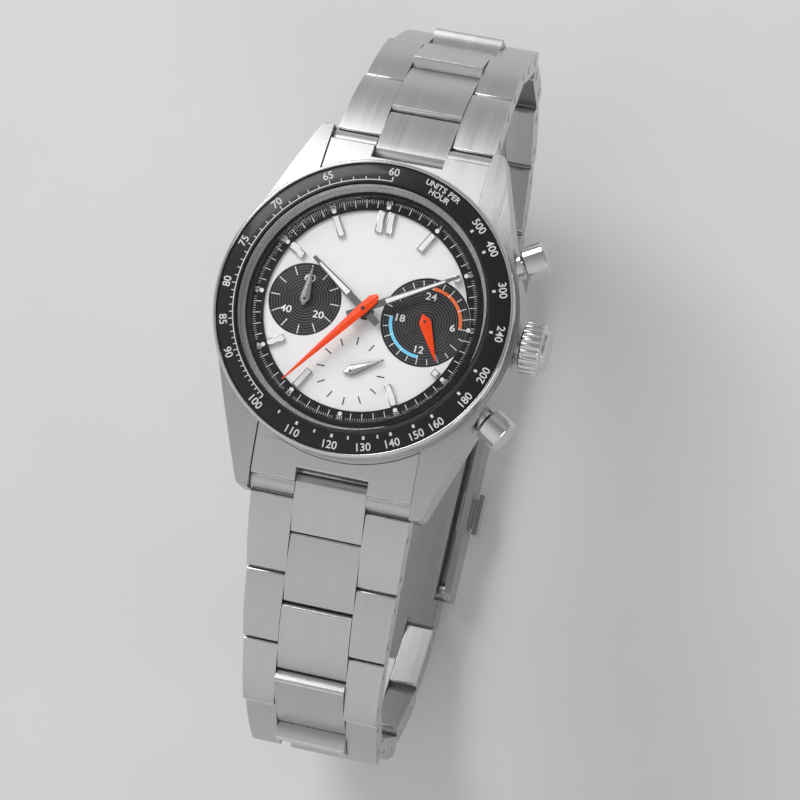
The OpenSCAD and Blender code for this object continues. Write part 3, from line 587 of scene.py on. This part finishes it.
class Print:
    """Printed shapes, drawn flat and then laid on a surface."""

    def __init__(self):
        self.bm = bmesh.new()

    def shape(self, points):
        self.bm.faces.new([self.bm.verts.new((x, y, 0)) for x, y in points])

    def tick(self, angle, r0, r1, width, centre=CENTRE):
        h = width / 2
        self.shape(swing(((-h, r0), (h, r0), (h, r1), (-h, r1)), angle, centre))

    def arc(self, a0, a1, r0, r1, centre=CENTRE):
        n = max(2, int(abs(a1 - a0) / ARC_STEP))
        outer = [clock(a0 + (a1 - a0) * k / n, r1, centre) for k in range(n + 1)]
        inner = [clock(a0 + (a1 - a0) * k / n, r0, centre) for k in range(n + 1)]
        for k in range(n):
            self.shape([outer[k], outer[k + 1], inner[k + 1], inner[k]])

    def dot(self, x, y, r):
        self.shape([clock(-k * 360 / DOT_SIDES, r, (x, y)) for k in range(DOT_SIDES)])

    def word(self, body, height, x, y, turn, weight=0.0, wide=1.0):
        """A word centred on a point, turned counter-clockwise."""
        flat, faces, _ = glyphs(body, weight)
        a = math.radians(turn)
        s, c = math.sin(a), math.cos(a)
        verts = []
        for px, py in flat:
            px, py = px * height * wide, py * height
            verts.append(self.bm.verts.new((x + px * c - py * s, y + px * s + py * c, 0)))
        for f in faces:
            self.bm.faces.new([verts[i] for i in f])

    def lay(self, name, mat, surface, body="head", thick=INK):
        """Makes the piece. surface is the height under a point at a radius."""
        for v in self.bm.verts:
            r = math.hypot(v.co.x, v.co.y)
            v.co = (v.co.x * MM, v.co.y * MM, (surface(r) + INK_GAP) * MM)
        bmesh.ops.recalc_face_normals(self.bm, faces=self.bm.faces)
        for f in self.bm.faces:
            if f.normal.z < 0:
                f.normal_flip()
        obj = new_object(name, self.bm)
        mod = obj.modifiers.new("ink", "SOLIDIFY")
        mod.thickness = thick * MM
        mod.offset = 1.0
        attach(obj, body)
        dress(obj, mat)


# ---------------------------------------------------------------- case and bezel
refine("case_middle", 0.12, "case")
refine("case_back", 0.08, "polish")
refine("crown", 0.05, "crown", 40)
refine("start_pusher", 0.06, "polish")
refine("reset_pusher", 0.06, "polish")

# from the insert's bore over the rim and round to the bore of the case side
lathe("bezel_ring", [
    (INSERT_IN - 0.02, TOP - 0.78), (INSERT_IN - 0.02, TOP - 0.56),
    (INSERT_OUT + 0.02, TOP - 0.76), (INSERT_OUT + 0.02, TOP - 0.20),
    (INSERT_OUT + 0.06, TOP - 0.10), (INSERT_OUT + 0.14, TOP - 0.02),
    (INSERT_OUT + 0.20, TOP), (INSERT_OUT + 0.30, TOP - 0.03),
    (17.98, TOP - 0.16), (18.06, TOP - 0.32), (BEZEL_R, TOP - 0.5),
    (BEZEL_R, TOP - 2.0), (18.04, TOP - 2.18), (17.8, TOP - 2.36),
    (BEZEL_BORE, TOP - 2.36), (BEZEL_BORE, TOP - 0.78),
], "polish")

INSERT_SINK = 0.06                # its inner edge lies this far under the bezel's top
INSERT_FALL = 0.2                 # and its outer edge this much lower again


def insert_height(r):
    """Height of the insert's sloping face at a radius."""
    across = (r - (INSERT_IN - 0.03)) / (INSERT_OUT - INSERT_IN + 0.03)
    return TOP - INSERT_SINK - INSERT_FALL * across


lathe("tachymeter_insert", [
    (INSERT_IN, TOP - 0.54), (INSERT_OUT, TOP - 0.74),
    (INSERT_OUT, insert_height(INSERT_OUT) - 0.02),
    (INSERT_OUT - 0.03, insert_height(INSERT_OUT - 0.03)),
    (INSERT_IN + 0.04, insert_height(INSERT_IN + 0.04)),
    (INSERT_IN, insert_height(INSERT_IN) - 0.04),
], "insert")


def crystal_profile():
    """A box crystal: an upright side, a rounded shoulder and a low dome, even in thickness."""
    thick, rise, dome = 1.15, 1.9, 72.0
    side, shoulder, corner = 0.35, 14.05, 0.25
    seat, top = DIAL + 0.72, TOP + rise
    bore = CRYSTAL_R - thick
    edge = top - dome + math.sqrt(dome ** 2 - shoulder ** 2)
    points = [(bore, seat), (CRYSTAL_R - 0.02, seat), (CRYSTAL_R, seat + 0.05),
              (CRYSTAL_R, TOP + side)]
    for k in range(1, 8):
        a = k / 8 * math.pi / 2
        points.append((CRYSTAL_R - (CRYSTAL_R - shoulder) * (1 - math.cos(a)),
                       TOP + side + (edge - TOP - side) * math.sin(a)))
    for k in range(13):
        r = shoulder * (1 - k / 12)
        points.append((r, top - dome + math.sqrt(dome ** 2 - r ** 2)))
    inner = dome - thick
    for k in range(12, 0, -1):
        r = (bore - corner) * (1 - k / 12)
        points.append((r, top - dome + math.sqrt(inner ** 2 - r ** 2)))
    z = top - dome + math.sqrt(inner ** 2 - bore ** 2)
    return points + [(bore - corner, z + 0.01), (bore - 0.07, z - 0.08), (bore, z - 0.3)]


lathe("crystal", crystal_profile(), "glass", 60)

# ---------------------------------------------------------------- bracelet and clasp
for k in range(1, 8):
    for side in ("12", "6"):
        refine("link_row_%s_%d" % (side, k), 0.1, "link_a" if k % 2 else "link_b", across=0.45)
for side in ("12", "6"):
    refine("end_link_" + side, 0.09, "link_b", across=0.25)
refine("clasp_cover", 0.16, "clasp")
refine("clasp_inner_blade", 0.14, "blade")
refine("clasp_middle_blade", 0.12, "blade")
refine("clasp_button_left", 0.22, "polish")
refine("clasp_button_right", 0.22, "polish")

# ---------------------------------------------------------------- dial furniture
refine("hour_markers", 0.03, "marker", 40, 1)

# nodes that keep the CAD's mesh
PLAIN = {
    "case_back_gasket": "rubber", "crystal_gasket": "rubber", "stem_gasket": "rubber",
    "chapter_ring": "ring", "dial_plate": "dial", "minute_counter_disc": "disc_minute",
    "day_counter_disc": "disc_day", "movement_ring": "plastic", "main_plate": "brass",
    "train_bridge": "bar", "battery": "polish", "coil": "copper", "circuit_board": "board",
    "crown_tube": "polish", "pusher_tubes": "polish", "winding_stem": "bar",
    "setting_lever": "bar",
    "spring_bar_12_ends": "bar", "spring_bar_6": "bar", "clasp_fold_pins": "bar",
    "clasp_bar": "bar", "hour_hand": "hand", "minute_hand": "hand",
    "chronograph_hand": "orange", "minute_counter_hand": "hand", "day_hand": "orange",
    "small_seconds_hand": "hand",
}
for node, mat in PLAIN.items():
    dress(nodes[node], mat)


def return_spring(side):
    """The pusher's spring, which shortens against the case as the pusher goes in; here a fixed
    copy of its CAD mesh on the head, which does not shorten.
    """
    node = side + "_pusher_spring"
    joints = frame["record"]["behaviour"]["joints"]
    press = next(j for j in joints if j["name"] == side + "_pusher_press")
    inward = Vector(press["axis"]).normalized()
    obj = bpy.data.objects.new(node + "_form", nodes[node].data.copy())
    scene.collection.objects.link(obj)
    along = [v.co.dot(inward) for v in obj.data.vertices]
    middle = sum((v.co for v in obj.data.vertices), Vector()) / len(along)
    foot = middle + inward * (max(along) - middle.dot(inward))
    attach(obj, "head")
    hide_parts(node)
    dress(obj, "bar")
    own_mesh(obj)


return_spring("start")
return_spring("reset")

# ---------------------------------------------------------------- fillings of the markers
FILL_MARGIN, FILL_LIFT, FILL_THICK = 0.14, 0.31, 0.1
TWIN_GAP = 0.38                   # between the two markers at 12 o'clock
fill = Print()


def filling(hour, length, shift=0.0, end=MARKER_END):
    half = MARKER_W / 2 - FILL_MARGIN
    x0, x1 = shift - half, shift + half
    y0, y1 = end - length + FILL_MARGIN, end - FILL_MARGIN
    fill.shape(swing(((x0, y0), (x1, y0), (x1, y1), (x0, y1)), 30 * hour))


for h in (1, 5, 7, 11):
    filling(h, MARKER_LONG)
for h in (8, 10):
    filling(h, MARKER_SHORT)
for h in (2, 4):
    filling(h, MARKER_W, end=MARKER_END - 0.2)
for s in (-1, 1):
    filling(0, MARKER_LONG, s * (MARKER_W + TWIN_GAP) / 2)
fill.lay("marker_fillings", "lume", lambda r: DIAL + FILL_LIFT, thick=FILL_THICK)

# ---------------------------------------------------------------- minute track
TRACK_IN, TRACK_OUT = 12.5, 13.52
FIFTH_IN = 13.12
TRACK_DOTS, TRACK_WORDS = 12.7, 13.27
TRACK_LINE, TRACK_DOT, FIFTH_LINE, TRACK_WORD = 0.085, 0.27, 0.05, 0.56
BOLD = 0.012                      # how much a printed word is thickened
track = Print()
fine = Print()


def facing(angle):
    """Text turn at a clock angle: tops outward above, inward below."""
    angle %= 360
    return -angle if angle <= 95 or angle >= 262 else 180 - angle


for minute in range(60):
    if minute % 5:
        track.tick(6.0 * minute, TRACK_IN, TRACK_OUT, TRACK_LINE)
    else:
        track.dot(*clock(6.0 * minute, TRACK_DOTS), TRACK_DOT)
for k in range(300):
    angle = 1.2 * k
    near = min(angle % 30, 30 - angle % 30)
    free = 1.7 if 20 < angle < 40 else 2.6  # degrees kept clear beside a number
    if k % 5 and near > free:
        fine.tick(angle, FIFTH_IN, TRACK_OUT, FIFTH_LINE)
for value in (60, *range(5, 60, 5)):
    angle = 6.0 * value
    fine.word(str(value), TRACK_WORD, *clock(angle, TRACK_WORDS), facing(angle), 0.008)
track.lay("minute_track_print", "print", lambda r: RING)
fine.lay("fifth_track_print", "print_soft", lambda r: RING)

# ---------------------------------------------------------------- small dials
SUB_WORD, SUB_WIDE = 0.82, 1.15
DAY_ARC = (3.96, 4.36)
sub, warm, cool, dark = Print(), Print(), Print(), Print()
for k in range(12):
    sub.tick(30 * k, 3.12, 4.2, 0.11, MINUTE_SUB)
    dark.tick(30 * k, 3.2, 4.15, 0.15, SECOND_SUB)
for body, x, y in (("60", 0.0, 2.66), ("20", 2.0, -1.5), ("40", -2.0, -1.5)):
    sub.word(body, SUB_WORD, MINUTE_SUB[0] + x, MINUTE_SUB[1] + y, 0, BOLD, SUB_WIDE)
for k in range(24):
    sub.tick(15 * k, 4.42 if k % 2 else 4.0, 5.1, 0.1, DAY_SUB)
for body, angle, r in (("24", 0, 3.2), ("6", 90, 3.3), ("12", 180, 3.3), ("18", 270, 3.04)):
    sub.word(body, SUB_WORD, *clock(angle, r, DAY_SUB), 0, BOLD, SUB_WIDE)
warm.arc(0.8, 90.5, *DAY_ARC, DAY_SUB)
cool.arc(180, 269.5, *DAY_ARC, DAY_SUB)
sub.lay("small_dial_print", "print", lambda r: DISC + INK)  # over the coloured arcs
warm.lay("day_arc_orange", "orange_print", lambda r: DISC)
cool.lay("day_arc_blue", "blue_print", lambda r: DISC)
dark.lay("seconds_ticks_print", "print_black", lambda r: DIAL)

# ---------------------------------------------------------------- scale on the insert
SCALE_IN, SCALE_WORDS = 15.5, 16.75
SCALE_WORD, UNIT_WORD = 0.9, 0.68
UNIT_AT = 22.0                    # clock angle of the words
NUMBERED = (*range(60, 91, 5), *range(100, 161, 10), 180, 200, 240, 300, 400, 500)
MINOR = (105, 115, 125, 135)
MAJOR = (110, 120, 130, 140, 150, 160, 180, 200, 240, 300, 400, 500)
scale = Print()


def pace(value):
    """Clock angle of a number of units per hour: one turn is a minute."""
    return 21600.0 / value


scale.arc(pace(100), 360.0, SCALE_IN, 15.62)
for value in range(60, 101):
    end = 15.98 if value % 5 else 16.12
    scale.tick(pace(value), 15.6, end, 0.16 if value in (60, 100) else 0.11)
for value in sorted(MINOR + MAJOR):
    scale.tick(pace(value), SCALE_IN, 15.9, 0.2 if value in MINOR else 0.3)
for value in NUMBERED:
    angle = pace(value)
    scale.word(str(value), SCALE_WORD, *clock(angle, SCALE_WORDS), facing(angle), BOLD)


def curved_word(body, height, r, middle):
    """Letters set one by one round the dial, tops outward."""
    space, gap = 0.55 * height, 0.16 * height
    widths = [space if ch == " " else glyphs(ch)[2] * height + gap for ch in body]
    angle = middle - math.degrees(sum(widths) / r) / 2
    for ch, w in zip(body, widths):
        step = math.degrees(w / r)
        if ch != " ":
            scale.word(ch, height, *clock(angle + step / 2, r), -(angle + step / 2), 0.014)
        angle += step


for body, r in (("UNITS PER", 16.9), ("HOUR", 15.98)):
    curved_word(body, UNIT_WORD, r, UNIT_AT)
scale.lay("insert_scale_print", "print", insert_height)

# ---------------------------------------------------------------- hands
HOUR_TOP, MINUTE_TOP, CHRONO_TOP, SMALL_TOP = DIAL + 0.70, DIAL + 1.05, DIAL + 1.40, DIAL + 0.37
HOUR_AT, MINUTE_AT, CHRONO_AT = 305, 60, 216.6      # the hands' clock angles at rest
COUNTER_AT, SECONDS_AT, DAY_AT = 2, 61.8, 152.5
STRIP = 0.02                      # thickness of a filling
RISE = 0.10                       # height of a hand's ridge
RIDGE_FOOT = -0.02                # how far its sides reach into the hand
PIN_RISE = 0.13
ROOT_W = 0.7


def hand_strip(name, body, angle, z, y0, y1, w0, w1, mat):
    """A filling or root on a hand, w0 wide at y0 and w1 wide at y1."""
    p = Print()
    outline = ((-w0 / 2, y0), (w0 / 2, y0), (w1 / 2, y1), (-w1 / 2, y1))
    p.shape(swing(outline, angle))
    p.lay(name, mat, lambda r: z, body, STRIP)


def facets(name, body, angle, z, right, mat, centre=CENTRE):
    """A low ridge along a hand. right is its right-hand outline, from tip to tail."""
    bm = bmesh.new()

    def at(x, y, up):
        px, py = swing(((x, y),), angle, centre)[0]
        return bm.verts.new((px * MM, py * MM, (z + up) * MM))

    widest = max(x for x, _ in right)
    ridge = [at(0, y, 0.01 + RISE * min(1.0, x / widest + 0.15)) for x, y in right]
    for side in (1, -1):
        edge = [at(side * x, y, INK_GAP) for x, y in right]
        foot = [at(side * x, y, RIDGE_FOOT) for x, y in right]
        for k in range(len(right) - 1):
            for q in ((ridge[k], edge[k], edge[k + 1], ridge[k + 1]),
                      (edge[k], foot[k], foot[k + 1], edge[k + 1])):
                bm.faces.new(q if side > 0 else q[::-1])
    bmesh.ops.remove_doubles(bm, verts=bm.verts, dist=1e-7)
    bmesh.ops.recalc_face_normals(bm, faces=bm.faces)
    obj = new_object(name, bm)
    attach(obj, body)
    dress(obj, mat)


def pin(name, body, centre, r, low):
    p = Print()
    p.dot(*centre, r)
    p.lay(name, "hand_pin", lambda q: low, body, PIN_RISE)


hand_strip("hour_hand_filling", "hour_hand", HOUR_AT, HOUR_TOP, 2.8, 7.9, 0.62, 0.26, "lume")
hand_strip("hour_hand_root", "hour_hand", HOUR_AT, HOUR_TOP, -2.3, 2.6, ROOT_W, ROOT_W,
           "hand_dark")
hand_strip("minute_hand_filling", "minute_hand", MINUTE_AT, MINUTE_TOP, 2.8, 10.2, 0.52, 0.20,
           "lume")
hand_strip("minute_hand_root", "minute_hand", MINUTE_AT, MINUTE_TOP, -2.0, 2.6, ROOT_W, ROOT_W,
           "hand_dark")

LEAF = ((0.02, 3.95), (0.50, 0.30), (0.44, -0.15), (0.02, -0.80))
DAY_LEAF = ((0.04, 4.88), (0.70, 0.25), (0.63, -0.15), (0.02, -1.02))
CHRONO_LEAF = ((0.055, 12.6), (0.62, 0.2), (0.60, -1.58), (0.20, -2.27))
facets("minute_counter_facets", "minute_counter_hand", COUNTER_AT, SMALL_TOP, LEAF, "facet",
       MINUTE_SUB)
facets("small_seconds_facets", "small_seconds_hand", SECONDS_AT, SMALL_TOP, LEAF, "facet",
       SECOND_SUB)
facets("day_hand_facets", "day_hand", DAY_AT, SMALL_TOP, DAY_LEAF, "orange", DAY_SUB)
facets("chronograph_hand_facets", "chronograph_hand", CHRONO_AT, CHRONO_TOP, CHRONO_LEAF,
       "orange")
pin("minute_counter_pin", "minute_counter_hand", MINUTE_SUB, 0.15, SMALL_TOP)
pin("small_seconds_pin", "small_seconds_hand", SECOND_SUB, 0.15, SMALL_TOP)
pin("day_hand_pin", "day_hand", DAY_SUB, 0.17, SMALL_TOP)
pin("chronograph_pin", "chronograph_hand", CENTRE, 0.22, CHRONO_TOP)

# ---------------------------------------------------------------- stage and light
# Lengths here are in metres.
FLOOR_HALF = 8.0
FLOOR_DROP = 0.00002
FLOOR_LOW, FLOOR_HIGH = (0.80, 0.80, 0.797), (0.83, 0.83, 0.827)
AIM = (0, 0, 0.03)


def stage_plane():
    bm = bmesh.new()
    bmesh.ops.create_grid(bm, x_segments=1, y_segments=1, size=FLOOR_HALF)
    obj = new_object("floor", bm)
    obj.location = (0, 0, cad_box[0][2] - FLOOR_DROP)
    m = Nodes("floor_pale")
    soft = m.noise(30, 4.0)
    m.paint(m.colours(soft, (0.3, FLOOR_LOW), (0.7, FLOOR_HIGH)))
    m.rough(m.spread(soft, 0.75, 0.9))
    obj.data.materials.append(m.mat)


def area(name, place, width, tall, power):
    """A rectangular lamp that faces the watch."""
    data = bpy.data.lights.new(name, "AREA")
    data.shape = "RECTANGLE"
    data.size, data.size_y = width, tall
    data.energy = power
    obj = bpy.data.objects.new(name, data)
    obj.location = place
    way = Vector(AIM) - Vector(place)
    obj.rotation_euler = way.to_track_quat("-Z", "Y").to_euler()
    scene.collection.objects.link(obj)


stage_plane()
area("key", (-0.39, 0.455, 0.46), 0.40, 0.40, 2.8)  # its mirror image misses the crystal
area("fill", (0.60, -0.25, 0.30), 0.4, 0.3, 0.6)

# The world is a soft grey gradient along one direction, which gives the steel faces their
# different tones. The camera sees plain white.
SKY_ALONG = (-0.23, -0.44, 0.0)
SKY = ((0.0, 0.30), (0.15, 0.46), (0.3, 0.24), (0.48, 0.38), (0.72, 0.66), (0.88, 0.74))


def world():
    w = bpy.data.worlds.new("studio")
    scene.world = w
    w.use_nodes = True
    t = w.node_tree
    t.nodes.clear()

    def add(kind):
        return t.nodes.new("ShaderNode" + kind)

    coord, side, lift, ramp = add("TexCoord"), add("VectorMath"), add("Math"), add("ValToRGB")
    side.operation = "DOT_PRODUCT"
    side.inputs[1].default_value = SKY_ALONG
    lift.operation = "ADD"
    lift.inputs[1].default_value = 0.5
    while len(ramp.color_ramp.elements) < len(SKY):
        ramp.color_ramp.elements.new(0.5)
    for e, (at, grey) in zip(ramp.color_ramp.elements, SKY):
        e.position = at
        e.color = (grey, grey, grey, 1)
    soft, white, ray = add("Background"), add("Background"), add("LightPath")
    white.inputs["Color"].default_value = (1, 1, 1, 1)
    mix, out = add("MixShader"), add("OutputWorld")
    for a, b in (
        (coord.outputs["Generated"], side.inputs[0]),
        (side.outputs["Value"], lift.inputs[0]),
        (lift.outputs[0], ramp.inputs["Fac"]),
        (ramp.outputs["Color"], soft.inputs["Color"]),
        (ray.outputs["Is Camera Ray"], mix.inputs[0]),
        (soft.outputs[0], mix.inputs[1]),
        (white.outputs[0], mix.inputs[2]),
        (mix.outputs[0], out.inputs["Surface"]),
    ):
        t.links.new(a, b)


world()
scene.view_settings.view_transform = "Standard"
